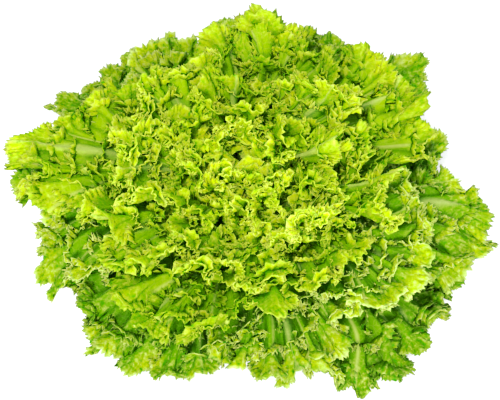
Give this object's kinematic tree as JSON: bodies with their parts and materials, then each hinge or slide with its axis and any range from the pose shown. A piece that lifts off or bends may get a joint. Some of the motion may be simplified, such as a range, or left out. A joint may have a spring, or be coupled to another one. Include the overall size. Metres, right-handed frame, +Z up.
{
  "type": "lollo bionda lettuce",
  "caption": "Loose head of curly pale green lollo bionda lettuce: fanned, deeply folded leaves in a spiral dome round a short cut stem, resting on its cut face.",
  "frame": {"origin": "centre of the stem's cut face, on the surface that the head rests on", "axes": "+Z up along the stem, +X across the widest leaves, -Y towards the side that the crown leans to and that the picture was taken from"},
  "size_m": [0.3188, 0.2866, 0.1355],
  "materials": {
    "outer_leaf": "moist green leaf, soft sheen, lets light through",
    "middle_leaf": "moist light green leaf, soft sheen, lets light through",
    "inner_leaf": "moist yellow-green leaf, soft sheen, lets light through",
    "stem": "pale moist stem, cut across"
  },
  "bodies": {
    "root": {"outer_leaf_01": "outer_leaf", "outer_leaf_02": "outer_leaf", "outer_leaf_03": "outer_leaf", "outer_leaf_04": "outer_leaf", "outer_leaf_05": "outer_leaf", "outer_leaf_06": "outer_leaf", "outer_leaf_07": "outer_leaf", "outer_leaf_08": "outer_leaf", "outer_leaf_09": "outer_leaf", "outer_leaf_10": "outer_leaf", "middle_leaf_01": "middle_leaf", "middle_leaf_02": "middle_leaf", "middle_leaf_03": "middle_leaf", "middle_leaf_04": "middle_leaf", "middle_leaf_05": "middle_leaf", "middle_leaf_06": "middle_leaf", "middle_leaf_07": "middle_leaf", "middle_leaf_08": "middle_leaf", "middle_leaf_09": "middle_leaf", "middle_leaf_10": "middle_leaf", "middle_leaf_11": "middle_leaf", "middle_leaf_12": "middle_leaf", "inner_leaf_01": "inner_leaf", "inner_leaf_02": "inner_leaf", "inner_leaf_03": "inner_leaf", "inner_leaf_04": "inner_leaf", "inner_leaf_05": "inner_leaf", "inner_leaf_06": "inner_leaf", "inner_leaf_07": "inner_leaf", "inner_leaf_08": "inner_leaf", "inner_leaf_09": "inner_leaf", "inner_leaf_10": "inner_leaf", "stem": "stem"}
  },
  "joints": []
}
